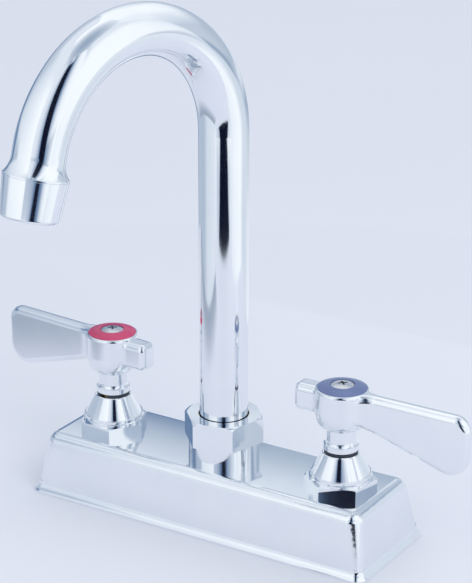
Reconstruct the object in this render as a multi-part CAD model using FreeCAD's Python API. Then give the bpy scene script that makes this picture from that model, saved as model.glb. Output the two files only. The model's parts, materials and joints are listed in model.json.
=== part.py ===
import FreeCAD
import Part
import math
import os

# Two-handle centreset tap with a swivelling gooseneck, for a basin deck.
# The origin is on the deck under the middle of the spout. +X runs along the
# body towards the cold valve, -Y points at the user and +Z is up.
# All sizes are in millimetres and all angles in degrees.

# Clearances
running_gap = 0.05
axial_gap = 0.1
seal_gap = 0.03
loose_gap = 0.3
same_place = 0.01

# Small edges
edge_break = 0.3
smallest_corner = 0.8

# Deck casting
base_end_length = 21.9
base_width = 47.4
base_height = 24.4
base_end_lean = 3.7
base_side_lean = 3.5
foot_corner = 3.2
top_corner = 5.0
top_edge_radius = 4.1
rim_overhang = 1.3
rim_lip = 0.9
flare_height = 4.6
flare_hollow = 0.45
side_wall = 2.6
top_wall = 3.0

# Deck gasket
gasket_thickness = 2.2
gasket_margin = 0.5
gasket_hole_margin = 1.2

# Valve seats in the casting
valve_spacing = 101.6
inlet_radius = 9.3
tower_wall = 2.2
shelf_thickness = 2.0
port_radius = 4.6
chamber_depth = 10.3
chamber_radius = 10.2
waterway_radius = 3.2
waterway_wall = 2.0
waterway_rise = 3.9

# Ceramic discs and seat seal
disc_radius = 7.4
disc_thickness = 2.5
window_inner_radius = 1.9
window_outer_radius = 5.6
window_angle = 76.0
drive_slot_width = 3.2
drive_slot_depth = 1.2
seal_inner_radius = 5.6
seal_thickness = 1.3

# Bonnet
bonnet_across_flats = 23.6
bonnet_hex_side = 3.2
bonnet_chamfer_height = 0.5
bonnet_flange_radius = 12.9
bonnet_drum_inset = 0.05
bonnet_drum_height = 1.2
bonnet_step_inset = 0.45
bonnet_step_height = 1.3
bonnet_step_round = 0.3
cone_base_inset = 0.3
cone_top_radius = 7.1
cone_height = 7.8
bonnet_neck = 0.4
bonnet_groove_depth = 1.4
bonnet_groove_width = 1.7
bonnet_thread_length = 2.8
cartridge_wall = 1.3
cartridge_window_count = 4
cartridge_window_width = 6.0
cartridge_window_height = 2.0
left_bonnet_turn = 26.5
right_bonnet_turn = -7.0

# Stem and its seals
stem_radius = 5.0
foot_thickness = 2.5
square_across_flats = 5.6
square_length = 15.4
stem_groove_depth = 1.4
stem_groove_width = 1.8
stem_groove_heights = (5.0, 9.4)
o_ring_section = 0.68
clip_groove_depth = 0.8
clip_thickness = 0.8
clip_inset = 0.2
clip_mouth = 3.4

# Handle
skirt_gap = 1.0
skirt_radius = 6.5
skirt_height = 2.2
skirt_flare_height = 3.9
skirt_hollow = 0.28
neck_radius = 5.45
neck_height = 4.3
hub_radius = 10.0
hub_height = 24.3
hub_edge_radius = 1.0
bowl_foot_radius = 6.3
bowl_foot_rise = 0.5
bowl_height = 7.3
bowl_bottom_height = 2.8
bowl_bottom_radius = 9.2
bowl_bottom_bulge = 0.45
bowl_side_bulge = 0.2
cavity_gap = 0.35
recess_depth = 2.0
web_thickness = 3.6
paddle_length = 51.8
paddle_thickness = 5.5
paddle_root_height = 13.4
paddle_slope = 17.2
paddle_top_drop = 0.1
paddle_top_corner = 5.8
paddle_low_corner = 8.0
paddle_edge_radius = 2.6
paddle_root_radius = 9.0
tail_length = 18.5
tail_thickness = 8.4
tail_height = 10.6
tail_top_drop = 0.9
tail_edge_radius = 2.6
tail_root_radius = 2.6
left_handle_turn = -5.0
right_handle_turn = 0.0

# Index ring and handle screw
ring_radius = 9.2
ring_hole_radius = 4.5
ring_rim_thickness = 2.1
ring_dome = 1.2
ring_bulge = 0.26
screw_head_radius = 4.3
screw_head_height = 3.9
screw_dome = 0.8
screw_shank_radius = 1.75
screw_length = 12.0
cross_width = 0.9
cross_length = 3.6
cross_depth = 1.8

# Spout seat in the casting and coupling nut
shank_inset = 0.2
well_wall = 2.4
well_floor_drop = 11.8
boss_width = 2.1
boss_height = 7.2
spigot_margin = 0.4
spigot_height = 3.4
nut_wall = 2.15
nut_web = 2.6
nut_dome_height = 1.5
nut_dome_bulge = 0.5
nut_top_inset = 0.15
nut_hole_gap = 0.45
nut_turn = -16.0

# Spout ferrule, washers and seals
slip_washer_thickness = 0.6
collar_width = 1.8
collar_thickness = 2.8
ferrule_wall = 1.9
ferrule_spigot_length = 6.5
ferrule_foot_rise = 9.5
spout_groove_depth = 1.5
spout_groove_width = 2.0
spout_groove_rises = (3.5, 9.0)
spout_ring_section = 0.74

# Gooseneck
tube_radius = 9.2
tube_wall = 1.0
leg_top = 152.2
bend_radius = 44.9
bend_angle = 166.0
tube_tail = 1.2
spout_turn = -11.4

# Outlet fitting and aerator, measured down from the end of the bend
flare_end = 7.4
flare_swell = 2.1
flare_shoulder = 0.7
outlet_wall = 0.8
nipple_step = 1.6
nipple_length = 5.0
housing_length = 14.4
housing_taper = 0.95
housing_edge_radius = 1.4
housing_lip = 0.9
washer_ledge = 0.8
screen_ledge = 0.9
housing_bevel = 0.25
aerator_washer_thickness = 1.4
screen_thickness = 0.7
screen_hole_radius = 0.75
screen_hole_pitch = 2.1
insert_wall = 1.2
insert_hole_count = 8
insert_hole_radius = 1.2
insert_hole_inset = 3.7
insert_plate = 2.0

# Sizes worked out from the ones above
base_length = valve_spacing + 2 * base_end_length
bonnet_drum_radius = bonnet_across_flats / 2 - bonnet_drum_inset
bonnet_step_radius = bonnet_drum_radius - bonnet_step_inset
cone_base_radius = bonnet_step_radius - cone_base_inset
clip_outer_radius = skirt_radius - clip_inset
cavity_radius = stem_radius + cavity_gap
tube_bore = tube_radius - tube_wall
well_radius = tube_radius - shank_inset
ferrule_bore_radius = tube_bore - ferrule_wall
collar_radius = tube_radius + collar_width
spigot_radius = collar_radius + spigot_margin
boss_radius = spigot_radius + boss_width
nut_across_flats = 2 * (spigot_radius + nut_wall)
nut_top_radius = nut_across_flats / 2 - nut_top_inset
flare_radius = tube_radius + flare_swell
nipple_radius = flare_radius - nipple_step
outlet_bore_radius = tube_bore - outlet_wall
housing_end_radius = flare_radius - housing_taper
housing_bore_radius = nipple_radius - washer_ledge
housing_lip_radius = housing_bore_radius - screen_ledge
insert_hole_circle = housing_bore_radius - insert_hole_inset

# Levels worked out from the sizes above
seat_level = base_height
chamber_floor = seat_level - chamber_depth
shelf_level = chamber_floor - shelf_thickness
waterway_level = chamber_floor + waterway_rise
seal_top = chamber_floor + seal_thickness
fixed_disc_top = seal_top + disc_thickness
moving_disc_top = fixed_disc_top + disc_thickness
foot_top = moving_disc_top + foot_thickness
flange_level = seat_level + bonnet_hex_side + bonnet_chamfer_height
drum_level = flange_level + bonnet_drum_height
cone_level = drum_level + bonnet_step_height
bonnet_top = cone_level + cone_height
skirt_level = bonnet_top + skirt_gap
shoulder_level = skirt_level + skirt_height
hub_top = skirt_level + hub_height
recess_level = hub_top - recess_depth
broach_top = recess_level - web_thickness
boss_top = seat_level + boss_height
spigot_top = boss_top + spigot_height
collar_low = spigot_top + slip_washer_thickness
collar_top = collar_low + collar_thickness
nut_web_level = collar_top + slip_washer_thickness + running_gap
nut_top = nut_web_level + nut_web
well_floor = seat_level - well_floor_drop
ferrule_foot = well_floor + ferrule_foot_rise
screen_low = flare_end + housing_length - housing_lip
insert_top = flare_end + nipple_length + aerator_washer_thickness
insert_low = screen_low - screen_thickness


def point(x, y, z):
    return FreeCAD.Vector(x, y, z)


ORIGIN = point(0, 0, 0)
UP = point(0, 0, 1)


def cylinder(radius, low, high):
    """Upright cylinder on the Z axis between two levels."""
    return Part.makeCylinder(radius, high - low, point(0, 0, low))


def tube(outer, inner, low, high):
    """Upright ring on the Z axis."""
    return cylinder(outer, low, high).cut(cylinder(inner, low, high))


def closed_wire(path):
    """Closed wire in the XZ plane. Each step of the path is (r, z), reached by a
    straight line, or (mid_r, mid_z, r, z), reached by an arc through the middle point."""
    corners = [point(step[-2], 0, step[-1]) for step in path]
    edges = []
    for index, step in enumerate(path):
        start = corners[index - 1]
        end = corners[index]
        if len(step) == 4:
            edges.append(Part.Arc(start, point(step[0], 0, step[1]), end).toShape())
        else:
            edges.append(Part.makeLine(start, end))
    return Part.Wire(edges)


def turned(path):
    """Solid of revolution about Z of the face inside a closed wire."""
    return Part.Face(closed_wire(path)).revolve(ORIGIN, UP, 360)


def bulged_step(start, end, bulge):
    """Arc step for turned() that stands out to the right of the way by the given height."""
    run = end[0] - start[0]
    rise = end[1] - start[1]
    chord = math.hypot(run, rise)
    middle_r = (start[0] + end[0]) / 2 + bulge * rise / chord
    middle_z = (start[1] + end[1]) / 2 - bulge * run / chord
    return (middle_r, middle_z, end[0], end[1])


def cap_step(radius, level, height):
    """Arc step for turned() from the rim of a spherical cap to its crown."""
    sphere = (radius ** 2 + height ** 2) / (2 * height)
    middle = math.sqrt(sphere ** 2 - (radius / 2) ** 2) - (sphere - height)
    return (radius / 2, level + middle, 0, level + height)


def round_step(centre_r, centre_z, radius, middle, end):
    """Arc step for turned(): the angles are measured from +R towards +Z."""
    mid_angle = math.radians(middle)
    end_angle = math.radians(end)
    return (
        centre_r + radius * math.cos(mid_angle),
        centre_z + radius * math.sin(mid_angle),
        centre_r + radius * math.cos(end_angle),
        centre_z + radius * math.sin(end_angle),
    )


def hexagon(across_flats, low, high, turn):
    """Upright hexagonal prism whose first flat faces the given angle."""
    corner = across_flats / math.sqrt(3)
    corners = []
    for side in range(6):
        angle = math.radians(turn + 30 + 60 * side)
        corners.append(point(corner * math.cos(angle), corner * math.sin(angle), low))
    face = Part.Face(Part.makePolygon(corners + corners[:1]))
    return face.extrude(point(0, 0, high - low))


def block(x_size, y_size, low, high, x_middle=0, y_middle=0):
    """Upright box centred on a point of the XY plane."""
    corner = point(x_middle - x_size / 2, y_middle - y_size / 2, low)
    return Part.makeBox(x_size, y_size, high - low, corner)


def rounded_rectangle(length, width, radius, level):
    """Closed wire of four lines and four arcs, centred on the Z axis."""
    edges = []
    ends = []
    for quarter in range(4):
        angle = 90 * quarter
        sign_x = 1 if quarter in (0, 3) else -1
        sign_y = 1 if quarter in (0, 1) else -1
        centre = point(sign_x * (length / 2 - radius), sign_y * (width / 2 - radius), level)
        places = []
        for degrees in (angle, angle + 45, angle + 90):
            turn = math.radians(degrees)
            places.append(centre + point(radius * math.cos(turn), radius * math.sin(turn), 0))
        edges.append(Part.Arc(places[0], places[1], places[2]).toShape())
        ends.append((places[0], places[2]))
    for quarter in range(4):
        edges.append(Part.makeLine(ends[quarter][1], ends[(quarter + 1) % 4][0]))
    return Part.Wire(Part.__sortEdges__(edges))


def block_section(inset, level):
    """Outline of the leaning block at one level, drawn in by an inset all round."""
    share = level / base_height
    length = base_length - 2 * (base_end_lean * share + inset)
    width = base_width - 2 * (base_side_lean * share + inset)
    corner = foot_corner + (top_corner - foot_corner) * share - inset
    return rounded_rectangle(length, width, max(corner, smallest_corner), level)


def tapered_block(inset, low, high):
    """The casting's leaning block between two levels, drawn in by an inset all round."""
    wires = [block_section(inset, low), block_section(inset, high)]
    return Part.makeLoft(wires, True, True)


def o_ring(radius, section, level):
    """Round rubber ring about the Z axis."""
    return Part.makeTorus(radius, section, point(0, 0, level), UP)


def moved(shape, x=0, y=0, z=0):
    copy = shape.copy()
    copy.translate(point(x, y, z))
    return copy


def turned_about_z(shape, angle):
    copy = shape.copy()
    copy.rotate(ORIGIN, UP, angle)
    return copy


def flared_rim():
    """Concave flare and rounded lip round the foot of the casting."""
    wall = base_length / 2
    lip = (wall + rim_overhang, rim_lip)
    root = (wall - max(base_end_lean, base_side_lean) * flare_height / base_height, flare_height)
    inner = wall - side_wall / 2
    profile = closed_wire([
        (inner, 0),
        (lip[0], 0),
        lip,
        bulged_step(lip, root, -flare_hollow),
        (inner, flare_height),
    ])
    path = rounded_rectangle(base_length, base_width, foot_corner, 0)
    return path.makePipeShell([profile], True, True)


def valve_tower(side):
    """Round tower under one valve, from the gasket to the top wall."""
    radius = max(inlet_radius, chamber_radius) + tower_wall
    return moved(cylinder(radius, gasket_thickness, seat_level - top_wall / 2), side * valve_spacing / 2)


def valve_bores(side):
    """Inlet, port and cartridge chamber of one valve."""
    bores = cylinder(inlet_radius, 0, shelf_level)
    bores = bores.fuse(cylinder(port_radius, 0, seat_level))
    bores = bores.fuse(cylinder(chamber_radius, chamber_floor, seat_level + top_wall))
    return moved(bores, side * valve_spacing / 2)


def body_casting():
    """Hollow casting with two valve towers, a cross waterway and the spout boss."""
    outer = tapered_block(0, 0, base_height)
    edges = [edge for edge in outer.Edges if edge.BoundBox.ZMin > base_height - same_place]
    outer = outer.makeFillet(min(top_edge_radius, side_wall + top_wall / 2), edges)
    outer = outer.fuse(flared_rim())
    casting = outer.cut(tapered_block(side_wall, 0, base_height - top_wall))
    for side in (-1, 1):
        casting = casting.fuse(valve_tower(side))
    channel_radius = waterway_radius + waterway_wall
    across = Part.makeCylinder(
        channel_radius, valve_spacing, point(-valve_spacing / 2, 0, waterway_level), point(1, 0, 0)
    )
    casting = casting.fuse(across)
    casting = casting.fuse(cylinder(well_radius + well_wall, well_floor - well_wall, seat_level))
    casting = casting.fuse(cylinder(boss_radius, seat_level - top_wall / 2, boss_top))
    casting = casting.fuse(cylinder(spigot_radius, boss_top, spigot_top))
    for side in (-1, 1):
        casting = casting.cut(valve_bores(side))
    casting = casting.cut(cylinder(well_radius, well_floor, spigot_top + top_wall))
    bore = Part.makeCylinder(
        waterway_radius, valve_spacing, point(-valve_spacing / 2, 0, waterway_level), point(1, 0, 0)
    )
    return casting.cut(bore).removeSplitter()


def deck_gasket():
    """Flat rubber gasket that closes the underside, with a hole at each inlet."""
    lean = max(base_end_lean, base_side_lean) * gasket_thickness / base_height
    inset = side_wall + gasket_margin + lean
    gasket = Part.Face(block_section(inset, 0)).extrude(point(0, 0, gasket_thickness))
    for side in (-1, 1):
        hole = cylinder(inlet_radius + gasket_hole_margin, -gasket_thickness, 2 * gasket_thickness)
        gasket = gasket.cut(moved(hole, side * valve_spacing / 2))
    return gasket


def sector(inner, outer, angle, low, high):
    """Ring sector centred on +X."""
    wedge = Part.makeCylinder(outer, high - low, point(0, 0, low), UP, angle)
    wedge = turned_about_z(wedge, -angle / 2)
    return wedge.cut(cylinder(inner, low, high))


def disc_windows(low, high, turn):
    """Pair of opposite sector windows through a ceramic disc."""
    windows = []
    for half_turn in (0, 180):
        window = sector(window_inner_radius, window_outer_radius, window_angle, low, high)
        windows.append(turned_about_z(window, turn + half_turn))
    return Part.makeCompound(windows)


def seat_seal():
    return tube(disc_radius, seal_inner_radius, chamber_floor, seal_top)


def fixed_disc():
    disc = cylinder(disc_radius, seal_top, fixed_disc_top)
    return disc.cut(disc_windows(seal_top, fixed_disc_top, 0))


def moving_disc():
    """Ceramic disc that the stem turns, closed when its windows lie a quarter turn away."""
    disc = cylinder(disc_radius, fixed_disc_top, moving_disc_top)
    disc = disc.cut(disc_windows(fixed_disc_top, moving_disc_top, 90))
    slot = block(
        2 * disc_radius + running_gap, drive_slot_width, moving_disc_top - drive_slot_depth, moving_disc_top
    )
    return disc.cut(slot)


def stem():
    """Brass stem: drive bar, foot, round shaft with two seal grooves and a square top."""
    shaft = cylinder(disc_radius, moving_disc_top, foot_top)
    shaft = shaft.fuse(cylinder(stem_radius, foot_top, shoulder_level))
    bar_depth = drive_slot_depth - running_gap
    bar = block(
        2 * disc_radius, drive_slot_width - 2 * running_gap, moving_disc_top - bar_depth, moving_disc_top
    )
    shaft = shaft.fuse(bar.common(cylinder(disc_radius, chamber_floor, foot_top)))
    groove_floor = stem_radius - stem_groove_depth
    for rise in stem_groove_heights:
        low = foot_top + rise - stem_groove_width / 2
        shaft = shaft.cut(tube(2 * stem_radius, groove_floor, low, low + stem_groove_width))
    clip_low = bonnet_top + axial_gap
    clip_floor = stem_radius - clip_groove_depth
    shaft = shaft.cut(tube(2 * stem_radius, clip_floor, clip_low, clip_low + clip_thickness + running_gap))
    square = block(
        square_across_flats, square_across_flats, shoulder_level, shoulder_level + square_length
    )
    shaft = shaft.fuse(square)
    screw_hole = cylinder(screw_shank_radius + running_gap, recess_level - screw_length - loose_gap, hub_top)
    return shaft.cut(screw_hole)


def stem_o_rings():
    rings = []
    middle = stem_radius - stem_groove_depth + seal_gap + o_ring_section
    for rise in stem_groove_heights:
        rings.append(o_ring(middle, o_ring_section, foot_top + rise))
    return Part.makeCompound(rings)


def stem_clip():
    """Open retaining ring in the groove above the bonnet."""
    low = bonnet_top + axial_gap
    inner = stem_radius - clip_groove_depth + running_gap
    ring = tube(clip_outer_radius, inner, low, low + clip_thickness)
    mouth = block(clip_mouth, clip_outer_radius * 2, low, low + clip_thickness, 0, clip_outer_radius)
    return ring.cut(mouth)


def bonnet(turn):
    """Chromed bonnet: hexagon, stepped drum, cone and the cartridge sleeve below."""
    corner = bonnet_across_flats / math.sqrt(3)
    chamfer = turned([
        (0, seat_level),
        (corner + edge_break, seat_level),
        (corner + edge_break, seat_level + bonnet_hex_side),
        (bonnet_flange_radius, flange_level),
        (0, flange_level),
    ])
    head = hexagon(bonnet_across_flats, seat_level, flange_level, turn).common(chamfer)
    step = (bonnet_step_radius, cone_level - bonnet_step_round)
    cone = turned([
        (0, seat_level),
        (bonnet_drum_radius, seat_level),
        (bonnet_drum_radius, drum_level - edge_break),
        (bonnet_step_radius, drum_level),
        step,
        bulged_step(step, (cone_base_radius, cone_level), edge_break),
        (cone_top_radius, bonnet_top - edge_break),
        (cone_top_radius - edge_break, bonnet_top),
        (0, bonnet_top),
    ])
    thread_radius = chamber_radius - running_gap
    groove_top = seat_level - bonnet_neck
    thread_top = groove_top - bonnet_groove_width
    thread_low = thread_top - bonnet_thread_length
    sleeve_radius = disc_radius + running_gap + cartridge_wall
    skirt = turned([
        (0, chamber_floor + loose_gap),
        (sleeve_radius, chamber_floor + loose_gap),
        (sleeve_radius, thread_low),
        (thread_radius, thread_low),
        (thread_radius, thread_top),
        (thread_radius - bonnet_groove_depth, thread_top),
        (thread_radius - bonnet_groove_depth, groove_top),
        (thread_radius, groove_top),
        (thread_radius, seat_level + running_gap),
        (0, seat_level + running_gap),
    ])
    body = head.fuse(cone).fuse(skirt)
    body = body.cut(cylinder(disc_radius + running_gap, 0, foot_top + axial_gap))
    body = body.cut(cylinder(stem_radius + running_gap, 0, bonnet_top * 2))
    window_low = fixed_disc_top + running_gap
    for index in range(cartridge_window_count):
        window = block(
            sleeve_radius, cartridge_window_width, window_low, window_low + cartridge_window_height,
            sleeve_radius
        )
        body = body.cut(turned_about_z(window, 360 / cartridge_window_count * (index + 0.5)))
    return body.removeSplitter()


def bonnet_o_ring():
    section = bonnet_groove_depth / 2 - seal_gap
    middle = chamber_radius - running_gap - bonnet_groove_depth / 2
    level = seat_level - bonnet_neck - bonnet_groove_width / 2
    return o_ring(middle, section, level)


def paddle_outline():
    """Side view of the paddle, a closed wire in the XZ plane with two rounded outer corners."""
    top = hub_top - paddle_top_drop
    slope = math.radians(paddle_slope)
    axis_low = top - paddle_root_height + hub_radius * math.tan(slope)
    corner_low = axis_low - paddle_length * math.tan(slope)
    tangent = paddle_low_corner / math.tan((math.pi / 2 - slope) / 2)
    low_start = (paddle_length - tangent * math.cos(slope), corner_low + tangent * math.sin(slope))
    low_centre = (paddle_length - paddle_low_corner, corner_low + tangent)
    top_centre = (paddle_length - paddle_top_corner, top - paddle_top_corner)
    return closed_wire([
        (0, axis_low),
        low_start,
        round_step(low_centre[0], low_centre[1], paddle_low_corner, -(90 + paddle_slope) / 2, 0),
        (paddle_length, top_centre[1]),
        round_step(top_centre[0], top_centre[1], paddle_top_corner, 45, 90),
        (0, top),
    ])


def webbed_plan(half_thickness, root_radius, length, low, high):
    """Plan shape of a flat arm that widens into the round hub along hollow curves."""
    reach = hub_radius + root_radius
    centre_y = half_thickness + root_radius
    centre_x = math.sqrt(reach ** 2 - centre_y ** 2)
    touch_x = centre_x * hub_radius / reach
    touch_y = centre_y * hub_radius / reach
    angle = math.atan2(-centre_y, -centre_x)
    middle = (angle - math.pi / 2) / 2
    sag_x = centre_x + root_radius * math.cos(middle)
    sag_y = centre_y + root_radius * math.sin(middle)
    edges = []
    for side in (1, -1):
        edges.append(Part.makeLine(point(0, 0, low), point(touch_x, side * touch_y, low)))
        edges.append(Part.Arc(
            point(touch_x, side * touch_y, low),
            point(sag_x, side * sag_y, low),
            point(centre_x, side * half_thickness, low),
        ).toShape())
        edges.append(Part.makeLine(
            point(centre_x, side * half_thickness, low), point(length, side * half_thickness, low)
        ))
    edges.append(Part.makeLine(point(length, half_thickness, low), point(length, -half_thickness, low)))
    wire = Part.Wire(Part.__sortEdges__(edges))
    return Part.Face(wire).extrude(point(0, 0, high - low))


def outer_edges(shape, beyond):
    """Edges of an arm that lie outside the hub, apart from upright ones on its flat sides."""
    chosen = []
    for edge in shape.Edges:
        box = edge.BoundBox
        upright = box.XLength < same_place and box.YLength < same_place
        if box.XMin > beyond and not upright:
            chosen.append(edge)
    return chosen


def paddle():
    """Flat paddle that points along +X and widens downwards to its round-cornered end."""
    half = paddle_thickness / 2
    plate = Part.Face(paddle_outline())
    plate = moved(plate.extrude(point(0, 4 * hub_radius, 0)), y=-2 * hub_radius)
    plan = webbed_plan(half, paddle_root_radius, 2 * paddle_length, 0, 2 * hub_top)
    blade = plate.common(plan).removeSplitter()
    return blade.makeFillet(paddle_edge_radius, outer_edges(blade, hub_radius / 2))


def tail():
    """Short square boss that points along -X, opposite the paddle."""
    high = hub_top - tail_top_drop
    boss = webbed_plan(tail_thickness / 2, tail_root_radius, tail_length, high - tail_height, high)
    boss = turned_about_z(boss, 180)
    edges = [edge for edge in boss.Edges if edge.BoundBox.XMax < -hub_radius / 2]
    return boss.makeFillet(tail_edge_radius, edges)


def handle_blank():
    """Turned part of the handle: skirt, neck, bowl and hub."""
    skirt_top = (skirt_radius, shoulder_level)
    neck_low = (neck_radius, skirt_level + skirt_flare_height)
    neck_top = neck_low[1] + neck_height
    bowl_low = (bowl_foot_radius, neck_top + bowl_foot_rise)
    bowl_side = (bowl_bottom_radius, bowl_low[1] + bowl_bottom_height)
    bowl_top = (hub_radius, bowl_low[1] + bowl_height)
    edge = hub_edge_radius
    return turned([
        (0, skirt_level),
        (skirt_radius - edge_break, skirt_level),
        (skirt_radius, skirt_level + edge_break),
        skirt_top,
        bulged_step(skirt_top, neck_low, -skirt_hollow),
        (neck_radius, neck_top),
        bulged_step((neck_radius, neck_top), bowl_low, -bowl_foot_rise / 3),
        bulged_step(bowl_low, bowl_side, bowl_bottom_bulge),
        bulged_step(bowl_side, bowl_top, bowl_side_bulge),
        (hub_radius, hub_top - edge),
        round_step(hub_radius - edge, hub_top - edge, edge, 45, 90),
        (0, hub_top),
    ])


def handle():
    """Lever handle in its own place, with its paddle along +X from the valve's axis."""
    body = handle_blank().fuse(paddle()).fuse(tail())
    body = body.cut(cylinder(cavity_radius, 0, shoulder_level))
    hole = square_across_flats + 2 * running_gap
    body = body.cut(block(hole, hole, shoulder_level, broach_top))
    body = body.cut(cylinder(ring_radius + running_gap, recess_level, hub_top * 2))
    return body.cut(cylinder(screw_shank_radius + loose_gap, shoulder_level, hub_top))


def index_ring():
    """Domed colour ring that snaps into the hub round the screw head."""
    rim = (ring_radius, recess_level + ring_rim_thickness)
    crown = (ring_hole_radius, recess_level + ring_rim_thickness + ring_dome)
    return turned([
        (ring_hole_radius, recess_level),
        (ring_radius, recess_level),
        rim,
        bulged_step(rim, crown, ring_bulge),
    ])


def handle_screw():
    """Raised-head screw with a cross recess."""
    head_top = recess_level + screw_head_height
    head_rim = head_top - screw_dome
    screw = turned([
        (0, recess_level - screw_length),
        (screw_shank_radius - edge_break, recess_level - screw_length),
        (screw_shank_radius, recess_level - screw_length + edge_break),
        (screw_shank_radius, recess_level),
        (screw_head_radius, recess_level),
        (screw_head_radius, head_rim),
        cap_step(screw_head_radius, head_rim, screw_dome),
    ])
    for turn in (0, 90):
        arm = block(cross_length, cross_width, head_top - cross_depth, head_top + cross_depth)
        screw = screw.cut(turned_about_z(arm, turn + 45))
    return screw


def spout_nut():
    """Hexagon coupling nut with a domed shoulder, threaded on the spigot."""
    corner = nut_across_flats / math.sqrt(3)
    side = (corner, nut_top - nut_dome_height)
    dome = turned([
        (0, boss_top),
        (corner - edge_break, boss_top),
        (corner, boss_top + edge_break),
        side,
        bulged_step(side, (nut_top_radius, nut_top), nut_dome_bulge),
        (0, nut_top),
    ])
    body = hexagon(nut_across_flats, boss_top, nut_top, nut_turn).common(dome)
    body = body.cut(cylinder(spigot_radius + running_gap, 0, nut_web_level))
    return body.cut(cylinder(tube_radius + nut_hole_gap, 0, nut_top * 2))


def slip_washer(low, inner):
    return tube(collar_radius - running_gap, inner, low, low + slip_washer_thickness)


def spout_ferrule():
    """Turned brass foot of the spout: shank with seal grooves, collar and brazing spigot."""
    shank = well_radius - running_gap
    floor = shank - spout_groove_depth
    half = spout_groove_width / 2
    path = [(ferrule_bore_radius, ferrule_foot), (shank, ferrule_foot)]
    for rise in spout_groove_rises:
        level = ferrule_foot + rise
        path += [(shank, level - half), (floor, level - half), (floor, level + half), (shank, level + half)]
    spigot = tube_bore - running_gap
    path += [
        (shank, collar_low),
        (collar_radius, collar_low),
        (collar_radius, collar_top),
        (spigot, collar_top),
        (spigot, collar_top + ferrule_spigot_length),
        (ferrule_bore_radius, collar_top + ferrule_spigot_length),
    ]
    return turned(path)


def spout_o_rings():
    shank = well_radius - running_gap
    middle = shank - spout_groove_depth + seal_gap + spout_ring_section
    rings = [o_ring(middle, spout_ring_section, ferrule_foot + rise) for rise in spout_groove_rises]
    return Part.makeCompound(rings)


def gooseneck_rod(radius):
    """Solid rod along the gooseneck: straight leg, bend and short tail, in the YZ plane."""
    leg = cylinder(radius, collar_top, leg_top)
    circle = Part.Wire(Part.makeCircle(radius, point(0, 0, leg_top), UP))
    bend = Part.Face(circle).revolve(point(0, -bend_radius, leg_top), point(1, 0, 0), bend_angle)
    end = at_outlet(Part.makeCylinder(radius, tube_tail, ORIGIN, point(0, 0, -1)))
    return leg.fuse(bend).fuse(end)


def at_outlet(shape):
    """Move a shape from the origin, where it points down, to the end of the bend."""
    copy = shape.copy()
    copy.rotate(ORIGIN, point(1, 0, 0), bend_angle - 180)
    angle = math.radians(bend_angle)
    reach = bend_radius * (1 - math.cos(angle))
    copy.translate(point(0, -reach, leg_top + bend_radius * math.sin(angle)))
    return copy


def spout_tube():
    return gooseneck_rod(tube_radius).cut(gooseneck_rod(tube_bore)).removeSplitter()


def outlet_fitting():
    """Flared end of the gooseneck with a spigot inside the tube and a nipple for the aerator."""
    mouth = (flare_radius - edge_break, flare_shoulder - flare_end)
    swell = mouth[0] - tube_radius
    run = -tube_tail - mouth[1]
    hollow_radius = (swell ** 2 + run ** 2) / (2 * swell)
    half_turn = math.asin(run / hollow_radius) / 2
    sag_r = tube_radius + hollow_radius * (1 - math.cos(half_turn))
    sag_z = -tube_tail - hollow_radius * math.sin(half_turn)
    nipple_end = flare_end + nipple_length
    spigot = tube_bore - running_gap
    return turned([
        (outlet_bore_radius, 0),
        (spigot, 0),
        (spigot, -tube_tail),
        (tube_radius, -tube_tail),
        (sag_r, sag_z, mouth[0], mouth[1]),
        (flare_radius, mouth[1] - edge_break),
        (flare_radius, -flare_end),
        (nipple_radius, -flare_end),
        (nipple_radius, -nipple_end),
        (outlet_bore_radius, -nipple_end),
    ])


def aerator_housing():
    """Tapered sleeve with a rounded foot and an inner lip that holds the screen."""
    end = flare_end + housing_length
    edge = housing_edge_radius
    thread = nipple_radius + running_gap
    return turned([
        (thread, -flare_end),
        (flare_radius - housing_bevel, -flare_end),
        (flare_radius, -flare_end - housing_bevel),
        (housing_end_radius, edge - end),
        round_step(housing_end_radius - edge, edge - end, edge, -45, -90),
        (housing_lip_radius, -end),
        (housing_lip_radius, -screen_low),
        (housing_bore_radius, -screen_low),
        (housing_bore_radius, -insert_top),
        (thread, -insert_top),
    ])


def aerator_washer():
    return tube(nipple_radius, outlet_bore_radius, -insert_top, -insert_top + aerator_washer_thickness)


def aerator_insert():
    """Plastic cup whose drilled top plate breaks the water into jets."""
    outer = housing_bore_radius - running_gap
    cup = cylinder(outer, -insert_low, -insert_top)
    cup = cup.cut(cylinder(outer - insert_wall, -insert_low, -insert_top - insert_plate))
    for index in range(insert_hole_count):
        hole = moved(cylinder(insert_hole_radius, -insert_low, -insert_top), insert_hole_circle)
        cup = cup.cut(turned_about_z(hole, 360 / insert_hole_count * index))
    return cup


def aerator_screen():
    """Perforated disc with its holes in a triangular grid inside the lip."""
    disc = cylinder(housing_bore_radius - running_gap, -screen_low, -screen_low + screen_thickness)
    row_pitch = screen_hole_pitch * math.sqrt(3) / 2
    limit = housing_lip_radius - screen_hole_radius - loose_gap
    rows = int(limit / row_pitch)
    columns = int(limit / screen_hole_pitch) + 1
    hole = cylinder(screen_hole_radius, -screen_low - screen_thickness, -insert_low + screen_thickness)
    holes = []
    for row in range(-rows, rows + 1):
        shift = screen_hole_pitch / 2 if row % 2 else 0
        for column in range(-columns, columns + 1):
            x = column * screen_hole_pitch + shift
            y = row * row_pitch
            if math.hypot(x, y) <= limit:
                holes.append(moved(hole, x, y))
    return disc.cut(Part.makeCompound(holes))


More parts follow.
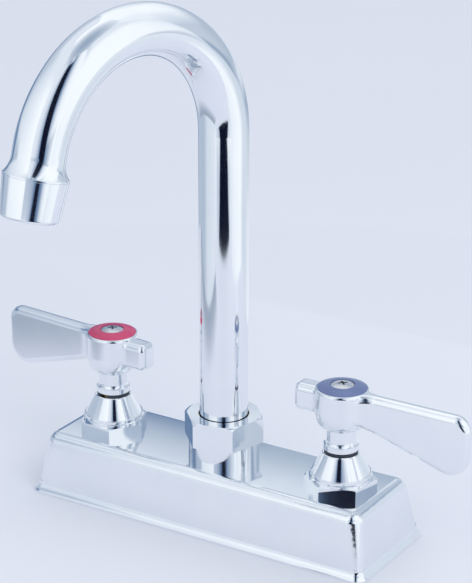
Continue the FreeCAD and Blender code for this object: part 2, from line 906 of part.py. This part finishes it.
def valve_nodes(side, name, index_name, bonnet_turn, handle_turn):
    """All pieces of one valve, each in its place. The handle points away from the spout."""
    fixed = {
        name + "_bonnet": bonnet(bonnet_turn),
        name + "_bonnet_o_ring": bonnet_o_ring(),
        name + "_fixed_disc": fixed_disc(),
        name + "_seat_seal": seat_seal(),
    }
    turning = {
        name + "_stem": stem(),
        name + "_stem_o_rings": stem_o_rings(),
        name + "_stem_clip": stem_clip(),
        name + "_moving_disc": moving_disc(),
        name + "_handle": handle(),
        index_name + "_index_ring": index_ring(),
        name + "_handle_screw": handle_screw(),
    }
    out_turn = 0 if side > 0 else 180
    nodes = dict(fixed)
    for node, shape in turning.items():
        nodes[node] = turned_about_z(shape, out_turn + handle_turn)
    return {node: moved(shape, side * valve_spacing / 2) for node, shape in nodes.items()}


def spout_nodes():
    """All pieces that swing with the spout, turned to its rest position."""
    nodes = {
        "spout_tube": spout_tube(),
        "spout_ferrule": spout_ferrule(),
        "spout_o_rings": spout_o_rings(),
        "outlet_fitting": at_outlet(outlet_fitting()),
        "aerator_housing": at_outlet(aerator_housing()),
        "aerator_washer": at_outlet(aerator_washer()),
        "aerator_insert": at_outlet(aerator_insert()),
        "aerator_screen": at_outlet(aerator_screen()),
    }
    return {node: turned_about_z(shape, spout_turn) for node, shape in nodes.items()}


def all_nodes():
    nodes = {
        "body_casting": body_casting(),
        "deck_gasket": deck_gasket(),
        "spout_nut": spout_nut(),
        "lower_slip_washer": slip_washer(spigot_top, well_radius + loose_gap),
        "upper_slip_washer": slip_washer(collar_top, tube_radius + loose_gap),
    }
    nodes.update(valve_nodes(-1, "left", "hot", left_bonnet_turn, left_handle_turn))
    nodes.update(valve_nodes(1, "right", "cold", right_bonnet_turn, right_handle_turn))
    nodes.update(spout_nodes())
    return nodes


os.makedirs("parts", exist_ok=True)
for node_name, node_shape in all_nodes().items():
    node_shape.exportStep("parts/" + node_name + ".step")
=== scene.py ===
import json
import math

import bpy
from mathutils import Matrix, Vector


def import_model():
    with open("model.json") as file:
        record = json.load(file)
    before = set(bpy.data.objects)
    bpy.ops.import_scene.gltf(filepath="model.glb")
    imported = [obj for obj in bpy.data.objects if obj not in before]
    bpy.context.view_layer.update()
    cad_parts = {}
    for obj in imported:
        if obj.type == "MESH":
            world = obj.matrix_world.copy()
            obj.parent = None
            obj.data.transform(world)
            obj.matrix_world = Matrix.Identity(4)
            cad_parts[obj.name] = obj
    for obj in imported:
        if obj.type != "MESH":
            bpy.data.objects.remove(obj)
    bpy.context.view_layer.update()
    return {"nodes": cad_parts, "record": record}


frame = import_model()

# Looks of a two-handle centreset tap in polished chrome, on a pale floor in a white studio.
# Every length is in metres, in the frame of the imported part. Colours are linear.

# View of the photograph
VIEW_AZIMUTH = 32.13
VIEW_ELEVATION = 22.05
VIEW_DISTANCE = 0.8139
VIEW_TARGET_HEIGHT = 0.07197
VIEW_CLIP_START = 0.01
FOCAL_PIXELS = 2184.8
CENTRE_PIXEL_X = 223.85
CENTRE_PIXEL_Y = 338.1
IMAGE_WIDTH = 472
IMAGE_HEIGHT = 583
SENSOR_MILLIMETRES = 36.0

# Pale floor: its reach from the middle, its two shades and its dull finish
FLOOR_REACH = 6.0
FLOOR_COLOUR = (0.78, 0.795, 0.86)
FLOOR_SHADE = (0.765, 0.78, 0.85)
FLOOR_ROUGHNESS = 0.6
FLOOR_SHINE = 0.2
FLOOR_CLOUD_SCALE = 4
FLOOR_CLOUD_DETAIL = 2

# Soft light from the right
KEY_SIZE = 0.8
KEY_POWER = 4.4
KEY_COLOUR = (1.0, 0.99, 0.97)
KEY_PLACE = (1.1, -0.5, 0.9)
KEY_AIM = (0.1, -0.05, 0.0)

# Tones of the glowing tent sheets from light to dark: painted light and shade that only the chrome throws
# back
GLOW_WHITE = (1.02, 1.06, 1.09)
GLOW_BRIGHT = (0.91, 0.96, 1.02)
GLOW_PALE = (0.81, 0.87, 0.95)
GLOW_SOFT = (0.71, 0.78, 0.87)
GLOW_GREY = (0.59, 0.66, 0.76)
GLOW_SHADE = (0.48, 0.56, 0.68)
GLOW_DARK = (0.34, 0.43, 0.56)
GLOW_BLUE = (0.15, 0.24, 0.40)

# Sky from its edge, at 0, to straight overhead, at 1. Its upright leans by some degrees towards a side that
# is counted in degrees from the camera's.
SKY_WHITE = (1.06, 1.07, 1.08)
SKY_SIDE = (0.52, 0.62, 0.76)
SKY_LOW = (0.80, 0.84, 0.93)
SKY_TONES = (
    (0.0, SKY_LOW), (0.30, SKY_SIDE), (0.55, SKY_WHITE), (0.84, SKY_WHITE), (0.90, GLOW_PALE),
    (0.95, GLOW_GREY), (1.0, GLOW_DARK),
)
SKY_LEAN = 8
SKY_LEAN_SIDE = 40

# Light tent round the tap. The camera looks through a dark gap between two bright panels.
TENT_HEIGHT = 0.80

# Bright panels that stand on the floor: degrees from the camera, distance, reach to the left and right.
# Their glowing cloth, seen only in the chrome, has rows of painted light and shade. Each row is a height
# and the tones from left to right, and the rows turn softly into one another.
ALL_PALE = ((0.0, GLOW_PALE), (1.0, GLOW_PALE))
ALL_SOFT = ((0.0, GLOW_SOFT), (1.0, GLOW_SOFT))

LEFT_PANEL = (-75, 0.231, 0.27, 0.165)
LEFT_LOW = ((0.0, GLOW_SHADE), (0.39, GLOW_SHADE), (0.58, GLOW_SOFT), (1.0, GLOW_PALE))
LEFT_BAND = (
    (0.0, GLOW_BLUE), (0.30, GLOW_BLUE), (0.42, GLOW_SHADE), (0.58, GLOW_SHADE), (0.66, GLOW_BRIGHT),
    (1.0, GLOW_WHITE),
)
LEFT_HIGH = ((0.0, GLOW_SHADE), (0.39, GLOW_SOFT), (0.60, GLOW_PALE), (1.0, GLOW_WHITE))
LEFT_ROWS = (
    (0.08, LEFT_LOW), (0.12, LEFT_BAND), (0.16, LEFT_BAND), (0.20, LEFT_HIGH), (0.36, LEFT_HIGH),
    (0.50, ALL_PALE),
)

RIGHT_PANEL = (60, 0.268, 0.108, 0.21)
RIGHT_LOW = ((0.0, GLOW_BRIGHT), (0.60, GLOW_WHITE), (0.72, GLOW_PALE), (1.0, GLOW_SOFT))
RIGHT_BAND = (
    (0.0, GLOW_BRIGHT), (0.20, GLOW_WHITE), (0.60, GLOW_WHITE), (0.68, GLOW_GREY), (0.80, GLOW_GREY),
    (0.88, GLOW_SOFT), (1.0, GLOW_SOFT),
)
RIGHT_HIGH = ((0.0, GLOW_WHITE), (0.65, GLOW_WHITE), (1.0, GLOW_PALE))
RIGHT_ROWS = (
    (0.11, RIGHT_LOW), (0.13, RIGHT_BAND), (0.15, RIGHT_BAND), (0.18, RIGHT_HIGH), (0.40, RIGHT_HIGH),
    (0.65, ALL_PALE),
)

FRONT_PANEL = (0, 0.287, 0.225, 0.185)
FRONT_LOW = (
    (0.0, GLOW_SOFT), (0.24, GLOW_GREY), (0.36, GLOW_DARK), (0.41, GLOW_BLUE), (0.62, GLOW_BLUE),
    (0.72, GLOW_SHADE), (0.84, GLOW_GREY), (0.93, GLOW_PALE), (1.0, GLOW_BRIGHT),
)
FRONT_BAND = (
    (0.0, GLOW_GREY), (0.24, GLOW_SHADE), (0.36, GLOW_DARK), (0.41, GLOW_BLUE), (0.65, GLOW_BLUE),
    (0.71, GLOW_DARK), (0.80, GLOW_SHADE), (0.88, GLOW_SOFT), (1.0, GLOW_SOFT),
)
FRONT_HIGH = (
    (0.0, GLOW_PALE), (0.24, GLOW_PALE), (0.36, GLOW_SHADE), (0.41, GLOW_BLUE), (0.62, GLOW_BLUE),
    (0.69, GLOW_GREY), (0.80, GLOW_BRIGHT), (1.0, GLOW_WHITE),
)
FRONT_ROWS = (
    (0.004, ALL_SOFT), (0.010, FRONT_LOW), (0.04, FRONT_LOW), (0.06, FRONT_HIGH), (0.11, FRONT_HIGH),
    (0.14, FRONT_BAND), (0.17, FRONT_BAND), (0.20, FRONT_HIGH),
)

# Painted shade on the floor along the left panel, a darker strip that only the chrome shows:
# where it starts, where it is full, its height and its tone
STRIP_START = 0.14
STRIP_FULL = 0.22
STRIP_RISE = 0.0004
STRIP_SHADE_TONE = (0.36, 0.42, 0.53)

# Dark gap, just in front of the front panel, a sheet seen only in the chrome as a painted dark reflection:
# its distance, its left and right edge at each height, and its tones by height
GAP_DISTANCE = 0.284
GAP_STEPS = (
    (0.007, -0.118, 0.132), (0.015, -0.110, 0.125), (0.030, -0.098, 0.102), (0.060, -0.088, 0.082),
    (0.090, -0.066, 0.004), (0.120, -0.052, 0.004), (0.140, -0.033, 0.026), (0.160, -0.033, 0.036),
    (0.180, -0.050, 0.035), (0.250, -0.055, 0.026), (0.350, -0.063, 0.018), (0.500, -0.064, 0.014),
    (0.660, -0.050, 0.012), (0.800, -0.040, 0.010),
)
GAP_BLACK = (0.004, 0.006, 0.02)
GAP_GREY = (0.42, 0.52, 0.63)
GAP_TONES = ((0.0, GAP_BLACK), (0.640, GAP_BLACK), (0.656, GAP_GREY), (TENT_HEIGHT, GLOW_PALE))

# Glowing panel behind the tap, which the top of the base shows: its place, its painted light and shade by
# height at the left, in the middle and at the right, and where they turn into one another
BACK_PLACE = 0.20
BACK_WIDTH = 0.9
BACK_LEFT = (
    (0.0, GLOW_SHADE), (0.04, GLOW_BLUE), (0.122, GLOW_BLUE), (0.132, GLOW_SHADE), (0.140, GLOW_GREY),
    (0.150, GLOW_PALE), (0.165, GLOW_SHADE), (0.22, GLOW_SHADE), (0.30, GLOW_SOFT), (0.38, GLOW_BRIGHT),
    (0.46, GLOW_WHITE),
)
BACK_MIDDLE = (
    (0.0, GLOW_BRIGHT), (0.05, GLOW_PALE), (0.09, GLOW_GREY), (0.12, GLOW_DARK), (0.130, GLOW_SHADE),
    (0.140, GLOW_SOFT), (0.150, GLOW_PALE), (0.170, GLOW_SHADE), (0.24, GLOW_SHADE),
    (0.31, GLOW_BRIGHT), (0.40, GLOW_WHITE),
)
BACK_RIGHT = (
    (0.0, GLOW_SOFT), (0.13, GLOW_SOFT), (0.145, GLOW_DARK), (0.16, GLOW_DARK), (0.18, GLOW_GREY),
    (0.26, GLOW_GREY), (0.30, GLOW_SOFT), (0.38, GLOW_PALE), (0.46, GLOW_BRIGHT),
)
BACK_TURNS = ((-0.15, -0.08), (0.0, 0.17))

# Round glowing wall behind the panels: its size, its painted light and shade by height behind and in front
# of the tap, and where they turn into one another
WALL_RADIUS = 0.34
WALL_SIDES = 96
WALL_BACK = (
    (0.0, GLOW_SHADE), (0.10, GLOW_SHADE), (0.14, GLOW_BLUE), (0.18, GLOW_BLUE), (0.25, GLOW_SHADE),
    (0.38, GLOW_GREY), (0.46, GLOW_PALE),
)
WALL_FRONT = ((0.0, GLOW_PALE), (0.15, GLOW_WHITE), (0.35, GLOW_WHITE), (0.70, GLOW_SOFT))
WALL_TURN = (-0.03, 0.02)

# Finish of each material slot: colour, darker shade of it, roughness, metal share
FINISHES = {
    "chrome": ((0.90, 0.92, 0.945), (0.86, 0.885, 0.92), 0.07, 1.0),
    "stainless_steel": ((0.72, 0.73, 0.76), (0.60, 0.61, 0.64), 0.22, 1.0),
    "brass": ((0.78, 0.58, 0.28), (0.66, 0.47, 0.20), 0.24, 1.0),
    "black_steel": ((0.060, 0.070, 0.095), (0.040, 0.048, 0.065), 0.35, 0.6),
    "black_rubber": ((0.018, 0.018, 0.019), (0.010, 0.010, 0.011), 0.55, 0.0),
    "white_ceramic": ((0.80, 0.79, 0.76), (0.72, 0.71, 0.68), 0.18, 0.0),
    "white_acetal": ((0.78, 0.78, 0.77), (0.70, 0.70, 0.69), 0.38, 0.0),
    "red_plastic": ((0.67, 0.048, 0.165), (0.50, 0.032, 0.12), 0.25, 0.0),
    "blue_plastic": ((0.150, 0.205, 0.40), (0.105, 0.145, 0.30), 0.25, 0.0),
}
# Chrome over castings and the outlet's thin sleeves is softer than over turned and drawn pieces
SOFTER_CHROME = {
    "body_casting": 0.09, "left_handle": 0.13, "right_handle": 0.13, "outlet_fitting": 0.10,
    "aerator_housing": 0.10,
}
# Clouds of two shades: where the noise leaves the darker one, where it reaches the lighter one, and the
# fineness of the clouds on the finishes
CLOUD_START = 0.3
CLOUD_END = 0.7
FINISH_CLOUD_SCALE = 60
FINISH_CLOUD_DETAIL = 3
# Uneven polish: its fineness, and its least and greatest share of a finish's roughness
POLISH_SCALE = 220
POLISH_DETAIL = 4
POLISH_FINEST = 0.8
POLISH_DULLEST = 1.25


def side_angle(degrees):
    """Angle in the floor's plane of a side that is counted in degrees from the camera's."""
    return math.radians(VIEW_AZIMUTH - 90 + degrees)


def new_material(name):
    """Material with its node tree and its surface shader."""
    material = bpy.data.materials.new(name)
    material.use_nodes = True
    tree = material.node_tree
    return material, tree, tree.nodes["Principled BSDF"]


def ramp(tree, factor, stops):
    """Colour that follows a factor from 0 to 1, from (place, colour) stops."""
    node = tree.nodes.new("ShaderNodeValToRGB")
    elements = node.color_ramp.elements
    while len(elements) < len(stops):
        elements.new(0.5)
    for element, (place, colour) in zip(elements, stops):
        element.position = place
        element.color = (*colour, 1.0)
    tree.links.new(factor, node.inputs["Fac"])
    return node.outputs["Color"]


def noise(tree, scale, detail):
    """Noise in the part's own coordinates, in metres."""
    place = tree.nodes.new("ShaderNodeTexCoord")
    texture = tree.nodes.new("ShaderNodeTexNoise")
    texture.inputs["Scale"].default_value = scale
    texture.inputs["Detail"].default_value = detail
    tree.links.new(place.outputs["Object"], texture.inputs["Vector"])
    return texture.outputs["Fac"]


def cloud(tree, scale, detail, shade, colour):
    """Two shades of one colour that drift into each other."""
    return ramp(tree, noise(tree, scale, detail), ((CLOUD_START, shade), (CLOUD_END, colour)))


def spread(tree, factor, low, high):
    """A factor from 0 to 1, spread over the range from low to high."""
    node = tree.nodes.new("ShaderNodeMapRange")
    node.inputs["To Min"].default_value = low
    node.inputs["To Max"].default_value = high
    tree.links.new(factor, node.inputs["Value"])
    return node.outputs["Result"]


def finish_material(slot, name):
    """Material of one slot: a slight cloud of two shades and an uneven polish."""
    colour, shade, usual_roughness, metal = FINISHES[slot]
    roughness = SOFTER_CHROME.get(name, usual_roughness)
    material, tree, shader = new_material(name + "_finish")
    shader.inputs["Metallic"].default_value = metal
    shades = cloud(tree, FINISH_CLOUD_SCALE, FINISH_CLOUD_DETAIL, shade, colour)
    tree.links.new(shades, shader.inputs["Base Color"])
    polish = noise(tree, POLISH_SCALE, POLISH_DETAIL)
    uneven = spread(tree, polish, roughness * POLISH_FINEST, roughness * POLISH_DULLEST)
    tree.links.new(uneven, shader.inputs["Roughness"])
    return material


def paint_nodes():
    """Give every node the finish of its slot, and some pieces their own softer chrome."""
    finishes = {}
    for row in frame["record"]["materials"]:
        finishes[row["slot"]] = finish_material(row["slot"], row["slot"])
    for name, node in frame["nodes"].items():
        slot = node.data.materials[0].name
        softer = name in SOFTER_CHROME
        node.data.materials[0] = finish_material(slot, name) if softer else finishes[slot]


def world():
    """White studio: grey nearly overhead, white round that and blue-grey at the sides."""
    scene_world = bpy.data.worlds.new("studio")
    scene_world.use_nodes = True
    tree = scene_world.node_tree
    lean = math.radians(SKY_LEAN)
    side = side_angle(SKY_LEAN_SIDE)
    upright = (math.sin(lean) * math.cos(side), math.sin(lean) * math.sin(side), math.cos(lean))
    place = tree.nodes.new("ShaderNodeTexCoord")
    rise = tree.nodes.new("ShaderNodeVectorMath")
    rise.operation = "DOT_PRODUCT"
    rise.inputs[1].default_value = upright
    tree.links.new(place.outputs["Generated"], rise.inputs[0])
    sky = ramp(tree, rise.outputs["Value"], SKY_TONES)
    tree.links.new(sky, tree.nodes["Background"].inputs["Color"])
    bpy.context.scene.world = scene_world


def studio_piece(name, points, faces=((0, 1, 2, 3),)):
    """Mesh in the scene, one four-cornered sheet where no faces are given."""
    mesh = bpy.data.meshes.new(name)
    mesh.from_pydata(points, [], faces)
    piece = bpy.data.objects.new(name, mesh)
    bpy.context.scene.collection.objects.link(piece)
    return piece


def floor():
    """Wide pale floor that the tap stands on."""
    reach = FLOOR_REACH
    corners = [(-reach, -reach, 0), (reach, -reach, 0), (reach, reach, 0), (-reach, reach, 0)]
    piece = studio_piece("studio_floor", corners)
    material, tree, shader = new_material("floor_finish")
    shader.inputs["Roughness"].default_value = FLOOR_ROUGHNESS
    shader.inputs["Specular IOR Level"].default_value = FLOOR_SHINE
    shades = cloud(tree, FLOOR_CLOUD_SCALE, FLOOR_CLOUD_DETAIL, FLOOR_SHADE, FLOOR_COLOUR)
    tree.links.new(shades, shader.inputs["Base Color"])
    piece.data.materials.append(material)


def hang_cloth(piece):
    """Make a studio piece of glowing cloth, which shows in reflections and neither lights nor shades."""
    piece.visible_camera = False
    piece.visible_diffuse = False
    piece.visible_shadow = False
    piece.visible_transmission = False
    material = bpy.data.materials.new(piece.name + "_cloth")
    material.use_nodes = True
    piece.data.materials.append(material)
    tree = material.node_tree
    tree.nodes.remove(tree.nodes["Principled BSDF"])
    glow = tree.nodes.new("ShaderNodeEmission")
    tree.links.new(glow.outputs["Emission"], tree.nodes["Material Output"].inputs["Surface"])
    return tree, glow


def place_along(tree, axis):
    """Coordinate of the shaded point along one axis of its own piece."""
    place = tree.nodes.new("ShaderNodeTexCoord")
    split = tree.nodes.new("ShaderNodeSeparateXYZ")
    tree.links.new(place.outputs["Object"], split.inputs["Vector"])
    return split.outputs[axis]


def share_between(tree, value, low, high, smooth=False):
    """How far a value has come from low to high, from 0 to 1."""
    node = tree.nodes.new("ShaderNodeMapRange")
    node.interpolation_type = "SMOOTHSTEP" if smooth else "LINEAR"
    node.inputs["From Min"].default_value = low
    node.inputs["From Max"].default_value = high
    tree.links.new(value, node.inputs["Value"])
    return node.outputs["Result"]


def mixed(tree, factor, first, second):
    """A colour output turned towards another by a factor."""
    node = tree.nodes.new("ShaderNodeMix")
    node.data_type = "RGBA"
    colours = [socket for socket in node.inputs if socket.type == "RGBA"]
    tree.links.new(factor, node.inputs["Factor"])
    tree.links.new(first, colours[0])
    tree.links.new(second, colours[1])
    return next(socket for socket in node.outputs if socket.type == "RGBA")


def height_tones(tree, tones):
    """Colour by height above the floor, from (height, colour) stops."""
    rise = share_between(tree, place_along(tree, "Z"), 0.0, TENT_HEIGHT)
    return ramp(tree, rise, [(height / TENT_HEIGHT, tone) for height, tone in tones])


def tent_wall():
    """Round glowing wall of the light tent, seen only in the chrome."""
    points = []
    for level in (0.0, TENT_HEIGHT):
        for side in range(WALL_SIDES):
            angle = 2 * math.pi * side / WALL_SIDES
            points.append((WALL_RADIUS * math.cos(angle), WALL_RADIUS * math.sin(angle), level))
    faces = []
    for side in range(WALL_SIDES):
        after = (side + 1) % WALL_SIDES
        faces.append((side, after, WALL_SIDES + after, WALL_SIDES + side))
    tree, glow = hang_cloth(studio_piece("tent_wall", points, faces))
    turn = share_between(tree, place_along(tree, "Y"), *WALL_TURN, smooth=True)
    cloth = mixed(tree, turn, height_tones(tree, WALL_FRONT), height_tones(tree, WALL_BACK))
    tree.links.new(cloth, glow.inputs["Color"])


def back_panel():
    """Glowing panel along the back of the tap, seen only in the chrome: painted shade below and painted
    light above.
    """
    half = BACK_WIDTH / 2
    corners = [(-half, 0, 0), (half, 0, 0), (half, 0, TENT_HEIGHT), (-half, 0, TENT_HEIGHT)]
    panel = studio_piece("back_panel", corners)
    panel.location = (0, BACK_PLACE, 0)
    tree, glow = hang_cloth(panel)
    cloth = height_tones(tree, BACK_LEFT)
    for (start, end), tones in zip(BACK_TURNS, (BACK_MIDDLE, BACK_RIGHT)):
        turn = share_between(tree, place_along(tree, "X"), start, end, smooth=True)
        cloth = mixed(tree, turn, cloth, height_tones(tree, tones))
    tree.links.new(cloth, glow.inputs["Color"])


def side_panel(name, spec, rows):
    """Flat glowing panel that stands on the floor and shows only in the chrome, with painted light and shade
    that change across it and upwards.
    """
    degrees, distance, left, right = spec
    corners = [(0, -left, 0), (0, right, 0), (0, right, TENT_HEIGHT), (0, -left, TENT_HEIGHT)]
    panel = studio_piece(name, corners)
    turn = side_angle(degrees)
    panel.rotation_euler = (0, 0, turn)
    panel.location = (distance * math.cos(turn), distance * math.sin(turn), 0)
    tree, glow = hang_cloth(panel)
    across = share_between(tree, place_along(tree, "Y"), -left, right)
    rise = place_along(tree, "Z")
    cloth = ramp(tree, across, rows[0][1])
    for (low, tones_below), (high, tones) in zip(rows, rows[1:]):
        if tones is not tones_below:
            lift = share_between(tree, rise, low, high, smooth=True)
            cloth = mixed(tree, lift, cloth, ramp(tree, across, tones))
    tree.links.new(cloth, glow.inputs["Color"])


def floor_strip():
    """Painted shade of the floor along the left panel: a darker strip which fades in and shows in the chrome
    alone.
    """
    degrees, distance, left, right = LEFT_PANEL
    corners = [(STRIP_START, -left, 0), (distance, -left, 0), (distance, right, 0), (STRIP_START, right, 0)]
    strip = studio_piece("floor_strip", corners)
    strip.rotation_euler = (0, 0, side_angle(degrees))
    strip.location = (0, 0, STRIP_RISE)
    tree, glow = hang_cloth(strip)
    # The strip's dark glow is the painted shade
    glow.inputs["Color"].default_value = (*STRIP_SHADE_TONE, 1.0)
    clear = tree.nodes.new("ShaderNodeBsdfTransparent")
    blend = tree.nodes.new("ShaderNodeMixShader")
    share = share_between(tree, place_along(tree, "X"), STRIP_START, STRIP_FULL, smooth=True)
    tree.links.new(share, blend.inputs["Fac"])
    tree.links.new(clear.outputs["BSDF"], blend.inputs[1])
    tree.links.new(glow.outputs["Emission"], blend.inputs[2])
    tree.links.new(blend.outputs["Shader"], tree.nodes["Material Output"].inputs["Surface"])


def tent_gap():
    """Dark gap in the tent, wide at the floor and narrow above, that the camera looks through: a black sheet
    that paints a dark reflection in the chrome.
    """
    points = []
    for height, left, right in GAP_STEPS:
        points += [(GAP_DISTANCE, left, height), (GAP_DISTANCE, right, height)]
    faces = []
    for low in range(0, len(points) - 2, 2):
        faces.append((low, low + 1, low + 3, low + 2))
    gap = studio_piece("tent_gap", points, faces)
    gap.rotation_euler = (0, 0, side_angle(0))
    tree, glow = hang_cloth(gap)
    tree.links.new(height_tones(tree, GAP_TONES), glow.inputs["Color"])


def key_light():
    """Wide soft light from the right, which leaves no outline in the chrome."""
    data = bpy.data.lights.new("key_light", "AREA")
    data.shape = "RECTANGLE"
    data.size = KEY_SIZE
    data.size_y = KEY_SIZE
    data.energy = KEY_POWER
    data.color = KEY_COLOUR
    light = bpy.data.objects.new("key_light", data)
    bpy.context.scene.collection.objects.link(light)
    light.location = KEY_PLACE
    aim = Vector(KEY_AIM) - Vector(KEY_PLACE)
    light.rotation_mode = "QUATERNION"
    light.rotation_quaternion = aim.to_track_quat("-Z", "Y")
    light.visible_glossy = False


def camera():
    """Camera at the place of the photograph's, with its lens."""
    azimuth = math.radians(VIEW_AZIMUTH)
    elevation = math.radians(VIEW_ELEVATION)
    back = Vector((
        math.sin(azimuth) * math.cos(elevation),
        -math.cos(azimuth) * math.cos(elevation),
        math.sin(elevation),
    ))
    data = bpy.data.cameras.new("photo_view")
    data.sensor_width = SENSOR_MILLIMETRES
    data.lens = FOCAL_PIXELS * SENSOR_MILLIMETRES / IMAGE_HEIGHT
    data.shift_x = (IMAGE_WIDTH / 2 - CENTRE_PIXEL_X) / IMAGE_HEIGHT
    data.shift_y = (CENTRE_PIXEL_Y - IMAGE_HEIGHT / 2) / IMAGE_HEIGHT
    data.clip_start = VIEW_CLIP_START
    piece = bpy.data.objects.new("photo_view", data)
    bpy.context.scene.collection.objects.link(piece)
    piece.location = Vector((0, 0, VIEW_TARGET_HEIGHT)) + back * VIEW_DISTANCE
    piece.rotation_mode = "QUATERNION"
    piece.rotation_quaternion = (-back).to_track_quat("-Z", "Y")
    bpy.context.scene.camera = piece


paint_nodes()
world()
floor()
tent_wall()
back_panel()
side_panel("left_panel", LEFT_PANEL, LEFT_ROWS)
floor_strip()
side_panel("right_panel", RIGHT_PANEL, RIGHT_ROWS)
side_panel("front_panel", FRONT_PANEL, FRONT_ROWS)
tent_gap()
key_light()
camera()

bpy.context.scene.view_settings.view_transform = "Standard"
